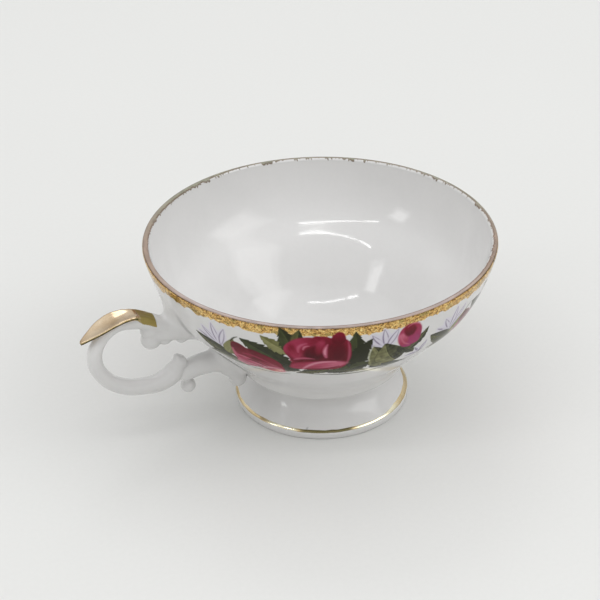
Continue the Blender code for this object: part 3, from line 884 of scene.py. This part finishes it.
# ---- handle
# Centre lines as (reach, height, radius) in millimetres.
LOOP = (
    (43.0, 37.4, 2.8),
    (49.5, 37.9, 2.6),
    (54.5, 40.4, 2.5),
    (59.0, 41.7, 2.2),
    (63.8, 41.5, 1.8),
    (68.4, 38.4, 1.9),
    (70.6, 33.0, 2.2),
    (68.8, 26.8, 2.2),
    (63.4, 21.6, 2.3),
    (56.3, 19.4, 2.4),
    (51.2, 19.5, 2.7),
    (47.4, 21.6, 2.8),
    (46.1, 24.8, 1.8),
    (46.4, 26.8, 0.8),
)
LOWER_ARM = (
    (46.0, 19.6, 2.4),
    (42.0, 21.0, 2.9),
    (38.4, 21.4, 3.1),
    (34.0, 21.0, 3.3),
    (30.0, 18.2, 3.2),
    (27.6, 14.6, 2.7),
)
UPPER_ROOT = (
    (41.0, 34.6, 3.2),
    (46.0, 35.3, 3.0),
    (51.5, 36.0, 2.6),
    (54.5, 37.2, 2.0),
)
UPPER_WEB = (
    (47.8, 46.4, 1.2),
    (47.2, 43.4, 1.9),
    (46.8, 40.2, 2.6),
    (46.6, 37.0, 3.1),
)
# The scroll's lobes as (reach, height, radius, half width) in millimetres.
LOBES = (
    (53.7, 37.4, 2.9, 2.6),
    (53.6, 34.3, 3.0, 2.7),
    (49.6, 34.1, 2.5, 2.4),
    (44.4, 33.0, 2.3, 2.4),
    (45.6, 24.2, 2.2, 2.3),
    (43.3, 15.6, 2.2, 2.1),
    (27.3, 13.5, 3.0, 2.9),
)
# The thumb leaf's stations as (reach, height, half width, dish) in mm, from its crest to its tip.
LEAF = (
    (52.4, 41.0, 2.3, 0.1),
    (55.2, 42.6, 2.5, 0.1),
    (58.2, 43.6, 2.8, 0.3),
    (61.6, 43.6, 3.4, 0.6),
    (65.2, 42.9, 3.7, 0.7),
    (68.6, 41.6, 3.3, 0.6),
    (71.6, 40.3, 2.1, 0.3),
    (74.3, 38.9, 0.7, 0.1),
)
# Patches that spread the roots onto the bowl, as (from, to, half width, height above the bowl's wall):
# from and to are mm down from the lip, the half width is in degrees, and the height is in mm.
ROOT_PADS = (
    (4.0, 27.0, 11.0, -0.07),
    (7.0, 24.4, 7.0, 0.2),
    (9.5, 23.8, 5.8, 0.65),
    (11.5, 23.4, 5.0, 1.4),
    (24.0, 46.0, 17.0, -0.07),
    (31.0, 45.6, 11.5, 0.2),
    (32.0, 45.0, 9.6, 0.65),
    (33.0, 44.4, 8.4, 1.4),
)
PAD_COLUMNS = 48
PAD_ROWS = 40
# How deep in the bowl's wall the handle and its pads end.
ROOT_DEPTH = 0.9 * MM
# How much wider the tubes are across the handle's plane than along it.
HANDLE_WIDTH = 1.12
LEAF_THICKNESS = 1.1 * MM
LEAF_STEPS = 61
LEAF_COLUMNS = 25
HANDLE_VOXEL = 0.28 * MM
# Rounds of smoothing, for the whole handle and for its roots.
FIRED_ROUNDS = 6
LUTED_ROUNDS = 280
# The reach in mm at which the leaf's gilding begins.
GILT_START = 52.6


def handle_point(reach, height):
    return Vector((AXIS_X - reach * MM, 0.0, height * MM))


def finish_mesh(work, mesh):
    """Turns the faces outward, writes the work into the mesh and frees it."""
    bmesh.ops.recalc_face_normals(work, faces=work.faces)
    work.to_mesh(mesh)
    work.free()
    return mesh


def slab_mesh(name, vertices, columns, rows):
    """A closed body between two like grids of points, one listed after the other."""
    index = np.arange(columns * rows).reshape(columns, rows)
    faces = grid_faces(columns, rows)
    faces += [[corner + index.size for corner in reversed(face)] for face in faces]
    for border in (index[:, 0], index[:, -1], index[0], index[-1]):
        for a, b in zip(border[:-1].tolist(), border[1:].tolist()):
            faces.append((a, b, b + index.size, a + index.size))
    mesh = bpy.data.meshes.new(name)
    mesh.from_pydata(vertices, [], faces)
    work = bmesh.new()
    work.from_mesh(mesh)
    return finish_mesh(work, mesh)


def vertex_places(mesh):
    places = np.zeros(len(mesh.vertices) * 3)
    mesh.vertices.foreach_get("co", places)
    return places.reshape(-1, 3)


def tube_mesh(name, stations):
    """A closed tube through (reach, height, radius) stations, widened across the handle's plane."""
    curve = bpy.data.curves.new(name, "CURVE")
    curve.dimensions = "3D"
    curve.bevel_depth = 1.0 * MM
    curve.bevel_resolution = 8
    curve.resolution_u = 16
    curve.use_fill_caps = True
    curve.twist_mode = "MINIMUM"
    spline = curve.splines.new("BEZIER")
    spline.bezier_points.add(len(stations) - 1)
    for point, (reach, height, radius) in zip(spline.bezier_points, stations):
        point.co = handle_point(reach, height)
        point.radius = radius
        point.handle_left_type = "AUTO"
        point.handle_right_type = "AUTO"
    guide = placed(name, curve)
    graph = bpy.context.evaluated_depsgraph_get()
    mesh = bpy.data.meshes.new_from_object(guide.evaluated_get(graph))
    bpy.data.objects.remove(guide, do_unlink=True)
    bpy.data.curves.remove(curve)
    work = bmesh.new()
    work.from_mesh(mesh)
    bmesh.ops.remove_doubles(work, verts=work.verts, dist=0.00001)
    bmesh.ops.scale(work, vec=(1.0, HANDLE_WIDTH, 1.0), verts=work.verts)
    return finish_mesh(work, mesh)


def lobe_mesh(reach, height, radius, half_width):
    """One of the scroll's round lobes, as a flattened ball."""
    place = Matrix.Translation(handle_point(reach, height))
    place = place @ Matrix.Diagonal((radius * MM, half_width * MM, radius * MM, 1.0))
    work = bmesh.new()
    bmesh.ops.create_uvsphere(work, u_segments=40, v_segments=24, radius=1.0, matrix=place)
    return finish_mesh(work, bpy.data.meshes.new("lobe"))


def thumb_leaf_mesh():
    """The thumb rest: a dished leaf along the top of the loop."""
    stations = np.linspace(0, 1, LEAF_STEPS)
    knots = np.linspace(0, 1, len(LEAF))
    rows = [smooth_through(knots, values, stations) for values in np.array(LEAF).T]
    vertices = []
    for side in (1, -1):
        for reach, height, half_width, dish in zip(*rows):
            for share in np.linspace(-1, 1, LEAF_COLUMNS):
                place = handle_point(reach, height + dish * share * share)
                place.y = half_width * MM * share
                place.z += side * LEAF_THICKNESS * 0.5 * (1 - 0.45 * share**8)
                vertices.append(place)
    return slab_mesh("thumb_leaf", vertices, LEAF_STEPS, LEAF_COLUMNS)


def smooth_through(knots, values, places):
    """Values along a curve through evenly spaced knots, its slopes taken from each knot's neighbours."""
    slope = np.gradient(values, knots)
    step = knots[1] - knots[0]
    index = np.clip(((places - knots[0]) / step).astype(int), 0, len(knots) - 2)
    t = (places - knots[index]) / step
    h00, h10 = 2 * t**3 - 3 * t**2 + 1, t**3 - 2 * t**2 + t
    h01, h11 = -2 * t**3 + 3 * t**2, t**3 - t**2
    return (
        h00 * values[index] + h10 * step * slope[index]
        + h01 * values[index + 1] + h11 * step * slope[index + 1]
    )


def root_pad_mesh(top, bottom, half_degrees, rise):
    """A patch along the bowl's wall for the handle's fillet to run into, rise mm above the wall."""
    down = np.linspace(top, bottom, PAD_ROWS)
    around = np.linspace(-half_degrees, half_degrees, PAD_COLUMNS)
    outer, _ = film_places(around, down, rise * MM)
    inner, _ = film_places(around, down, -ROOT_DEPTH)
    return slab_mesh("root_pad", np.vstack([outer, inner]).tolist(), PAD_COLUMNS, PAD_ROWS)


def joined(name, meshes):
    """One object holding all the meshes, which are used up."""
    work = bmesh.new()
    for mesh in meshes:
        work.from_mesh(mesh)
        bpy.data.meshes.remove(mesh)
    mesh = bpy.data.meshes.new(name)
    work.to_mesh(mesh)
    work.free()
    return placed(name, mesh)


def applied(obj):
    """Replaces the object's mesh by what its modifiers make of it, and returns that."""
    graph = bpy.context.evaluated_depsgraph_get()
    mesh = bpy.data.meshes.new_from_object(obj.evaluated_get(graph))
    old = obj.data
    obj.modifiers.clear()
    obj.data = mesh
    bpy.data.meshes.remove(old)
    return mesh


def bowl_nearby(points):
    """How far outside the bowl's wall each point lies, in metres, and the wall's normal beside it."""
    wall = outer_wall(2)
    aside = np.stack([points[:, 0] - AXIS_X, points[:, 1]], 1)
    radius = np.linalg.norm(aside, axis=1)
    flat = np.stack([radius, points[:, 2]], 1)
    normals = section_normals(wall)
    away = np.linalg.norm(flat[:, None, :] - wall[None, :, :], axis=2)
    nearest = away.argmin(1)
    gap = ((flat - wall[nearest]) * normals[nearest]).sum(1)
    out = aside / radius[:, None] * normals[nearest][:, :1]
    return gap, np.column_stack([out, normals[nearest][:, 1]])


def blend_into_bowl(mesh, points):
    """Turns the handle's shading normals into the bowl's own where they meet, to soften the crease."""
    gap, wall_normals = bowl_nearby(points)
    own = np.zeros(len(points) * 3)
    mesh.vertex_normals.foreach_get("vector", own)
    own = own.reshape(-1, 3)
    share = smoothstep(0.7, 0.05, gap / MM)[:, None]
    blended = own * (1 - share) + wall_normals * share
    blended /= np.linalg.norm(blended, axis=1)[:, None]
    mesh.normals_split_custom_set_from_vertices(blended.tolist())


def make_handle(material):
    """The scroll handle: parts fused into one skin, cut back within the bowl's wall and smoothed."""
    meshes = [
        tube_mesh("loop", LOOP),
        tube_mesh("lower_arm", LOWER_ARM),
        tube_mesh("upper_root", UPPER_ROOT),
        tube_mesh("upper_web", UPPER_WEB),
        thumb_leaf_mesh(),
    ]
    meshes += [lobe_mesh(*lobe) for lobe in LOBES]
    meshes += [root_pad_mesh(*pad) for pad in ROOT_PADS]
    piece = joined("scroll_handle", meshes)
    remesh = piece.modifiers.new("Clay", "REMESH")
    remesh.mode = "VOXEL"
    remesh.voxel_size = HANDLE_VOXEL
    remesh.adaptivity = 0.0
    mesh = applied(piece)
    points = vertex_places(mesh)
    depth, wall_normals = bowl_nearby(points)
    too_deep = depth < -ROOT_DEPTH
    points[too_deep] += wall_normals[too_deep] * (-ROOT_DEPTH - depth[too_deep])[:, None]
    mesh.vertices.foreach_set("co", points.reshape(-1))
    gap = np.maximum(depth, -ROOT_DEPTH) / MM
    near_bowl = smoothstep(4.4, 0.8, gap) * smoothstep(-0.88, -0.4, gap)
    whole = piece.vertex_groups.new(name="whole")
    whole.add(range(len(points)), 1.0, "REPLACE")
    root = piece.vertex_groups.new(name="root")
    for i in np.nonzero(near_bowl > 0.01)[0]:
        root.add([int(i)], float(near_bowl[i]), "REPLACE")
    for name, group, rounds in (("Fired", "whole", FIRED_ROUNDS), ("Luted", "root", LUTED_ROUNDS)):
        smooth = piece.modifiers.new(name, "SMOOTH")
        smooth.factor = 0.5
        smooth.iterations = rounds
        smooth.vertex_group = group
    mesh = applied(piece)
    mesh.materials.clear()
    mesh.materials.append(material)
    mesh.shade_smooth()
    points = vertex_places(mesh)
    store(mesh, "gilt", leaf_gilt(points))
    store(mesh, "gilt_shade", gilt_shade(points))
    piece.vertex_groups.clear()
    blend_into_bowl(mesh, points)
    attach(piece, "root")
    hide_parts("handle", "upper_slip_seam", "lower_slip_seam")


def leaf_gilt(points):
    """How far each of the handle's points is gilt: on the leaf's top and edge, and behind its crest."""
    reach = (AXIS_X - points[:, 0]) / MM
    height = points[:, 2] / MM
    stations = np.array(LEAF)
    floor = np.interp(reach, stations[:, 0], stations[:, 1] - 0.62)
    floor -= 1.1 * smoothstep(58.5, 56.0, reach)
    top = smoothstep(-0.1, 0.1, height - floor)
    return top * smoothstep(GILT_START - 0.1, GILT_START + 0.1, reach)


def gilt_shade(points):
    """How far the leaf's gilding is painted darker: painted shade on its rolled edge, and an olive tint
    on the slope behind its crest.
    """
    reach = (AXIS_X - points[:, 0]) / MM
    height = points[:, 2] / MM
    aside = np.abs(points[:, 1]) / MM
    stations = np.array(LEAF)
    half_width = np.interp(reach, stations[:, 0], stations[:, 2])
    top = np.interp(reach, stations[:, 0], stations[:, 1] + stations[:, 3])
    # Painted shade along the rolled edge.
    edge = smoothstep(0.8, 0.5, half_width - aside) * smoothstep(0.3, 0.05, height - top)
    edge = edge * smoothstep(56.8, 58.0, reach)
    behind = 0.8 * smoothstep(57.8, 56.8, reach)
    return np.maximum(edge, behind)


def handle_material():
    """Porcelain with the leaf's worn gilding, olive behind its crest, with painted shade on its rolled
    edge.
    """
    material, tree, shader = new_material("porcelain_and_leaf_gilding")
    wear = uneven(tree, 700.0, -0.15, 0.1, 3.0, 0.65)
    worn = calculate(tree, "ADD", attribute(tree, "gilt"), wear)
    share = remap(tree, worn, 0.45, 0.6, 0.0, 1.0)
    shade = attribute(tree, "gilt_shade")
    painted_edge_shade = remap(tree, shade, 0.86, 1.0, 0.0, 1.0)
    gold = gold_colour(tree, LEAF_GOLD, LEAF_BRIGHT)
    gold = mix_colours(tree, shade, gold, opaque(LEAF_OLIVE))
    # Painted shade on the leaf's rolled edge.
    gold = mix_colours(tree, painted_edge_shade, gold, opaque(LEAF_EDGE_SHADE))
    finish = remap(tree, share, 0.0, 1.0, glaze_finish(tree, shader), 0.11)
    blur = calculate(tree, "MULTIPLY", calculate(tree, "MULTIPLY", share, shade), 0.4)
    colour = mix_colours(tree, share, white_glaze_colour(tree), gold)
    feed(tree, colour, shader.inputs["Base Color"])
    feed(tree, calculate(tree, "MULTIPLY", share, 0.95), shader.inputs["Metallic"])
    feed(tree, calculate(tree, "ADD", finish, blur), shader.inputs["Roughness"])
    return material


# ---- stage, lights and camera
PHOTO_AZIMUTH = -27.0
LIGHTS_AIM = Vector((AXIS_X, 0.0, CUP_HEIGHT / 2))
TABLE_SIZE = 6.0
HORIZON = (0.415, 0.412, 0.396, 1.0)
ZENITH = (1.15, 1.16, 1.17, 1.0)


def make_floor():
    """A matt white table top, large enough for every view."""
    material, tree, shader = new_material("matt_table")
    broad = uneven(tree, 3.0, 0.985, 1.01)
    fine = uneven(tree, 700.0, 0.99, 1.005)
    tint = calculate(tree, "MULTIPLY", broad, fine)
    feed(tree, scaled(tree, opaque(TABLE_WHITE)[:3], tint), shader.inputs["Base Color"])
    shader.inputs["Roughness"].default_value = 0.7
    shader.inputs["Specular IOR Level"].default_value = 0.25
    half = TABLE_SIZE / 2
    corners = [(-half, -half, 0), (half, -half, 0), (half, half, 0), (-half, half, 0)]
    floor = new_piece("table_top", corners, [(0, 1, 2, 3)], material)


def sky_direction(azimuth, elevation):
    """The direction of a place in the sky, its azimuth measured from the camera's side to the right."""
    turn = math.radians(PHOTO_AZIMUTH + azimuth)
    lift = math.radians(elevation)
    return Vector((math.sin(turn) * math.cos(lift), -math.cos(turn) * math.cos(lift), math.sin(lift)))


def area_light(name, length, width, radiance):
    """A flat rectangular light, whose power gives its surface the radiance that is asked for."""
    data = bpy.data.lights.new(name, "AREA")
    data.shape = "RECTANGLE"
    data.size = length
    data.size_y = width
    data.energy = radiance * math.pi * length * width
    return placed(name, data)


def studio_light(name, azimuth, elevation, distance, size, radiance):
    """A soft box in the sky, facing the cup."""
    light = area_light(name, *size, radiance)
    toward = sky_direction(azimuth, elevation)
    light.location = LIGHTS_AIM + toward * distance
    light.rotation_euler = toward.to_track_quat("Z", "Y").to_euler()


def tube_light(name, start, end, distance, width, radiance):
    """A straight lighting tube between two places in the sky, facing the cup."""
    first = LIGHTS_AIM + sky_direction(*start) * distance
    last = LIGHTS_AIM + sky_direction(*end) * distance
    middle = (first + last) / 2
    along = (last - first).normalized()
    facing = (middle - LIGHTS_AIM).normalized()
    facing = (facing - along * facing.dot(along)).normalized()
    turned = Matrix((along, facing.cross(along), facing)).transposed().to_4x4()
    light = area_light(name, (last - first).length, width, radiance)
    light.matrix_world = Matrix.Translation(middle) @ turned


def make_sky():
    """A plain studio surround, brighter overhead than at the horizon."""
    world = bpy.data.worlds.new("studio")
    world.use_nodes = True
    tree = world.node_tree
    place = tree.nodes.new("ShaderNodeTexCoord")
    split = tree.nodes.new("ShaderNodeSeparateXYZ")
    feed(tree, place.outputs["Generated"], split.inputs["Vector"])
    lift = remap(tree, split.outputs["Z"], 0.0, 1.0, 0.0, 1.0)
    background = tree.nodes["Background"]
    feed(tree, mix_colours(tree, lift, HORIZON, ZENITH), background.inputs["Color"])
    background.inputs["Strength"].default_value = 1.0
    bpy.context.scene.world = world


def make_lights():
    """The windows, each with a brighter core, one soft light behind the cup, and the lighting tubes."""
    make_sky()
    studio_light("window_right_glow", 76, 41, 1.21, (0.9, 0.74), 0.5)
    studio_light("window_right", 76, 41, 1.2, (0.8, 0.64), 0.6)
    studio_light("window_right_core", 77, 40, 1.19, (0.6, 0.44), 0.8)
    studio_light("window_left", -67, 31, 1.2, (0.27, 0.4), 1.2)
    studio_light("window_left_core", -67, 31, 1.19, (0.19, 0.24), 2.2)
    studio_light("window_behind", -168, 52, 1.2, (0.5, 0.3), 1.7)
    tube_light("ceiling_tube_long", (29.5, 67.2), (-47.5, 59.0), 1.8, 0.054, 10.0)
    tube_light("ceiling_tube_short", (-49.8, 57.8), (-60.0, 50.0), 1.8, 0.075, 10.0)


def make_camera():
    """The camera, placed and turned about the cup's axis, at the photograph's viewing angle."""
    data = bpy.data.cameras.new("camera")
    data.sensor_width = 36.0
    data.lens = 96.06
    data.clip_start = 0.01
    data.clip_end = 20.0
    camera = placed("camera", data)
    distance, height = 403.56 * MM, 275.79 * MM
    yaw, pitch, roll = -0.0150, -0.5436, -0.0189
    turn = math.radians(-PHOTO_AZIMUTH)
    forward = Vector((math.sin(yaw) * math.cos(pitch), math.cos(yaw) * math.cos(pitch), math.sin(pitch)))
    right = forward.cross(Vector((0, 0, 1))).normalized()
    up = right.cross(forward)
    right_rolled = math.cos(roll) * right + math.sin(roll) * up
    up_rolled = -math.sin(roll) * right + math.cos(roll) * up
    about_cup = Matrix.Rotation(-turn, 3, "Z")
    basis = Matrix((about_cup @ right_rolled, about_cup @ up_rolled, about_cup @ -forward)).transposed()
    place = about_cup @ Vector((0.0, -distance, height)) + Vector((AXIS_X, 0.0, 0.0))
    camera.matrix_world = Matrix.Translation(place) @ basis.to_4x4()
    bpy.context.scene.camera = camera


bpy.context.scene.view_settings.view_transform = "Standard"
white_glaze = porcelain()
make_camera()
make_lights()
make_floor()
make_bowl(white_glaze)
make_band(painted_band())
make_foot(white_glaze)
make_foot_gilding(gilding())
make_handle(handle_material())

bpy.context.view_layer.update()
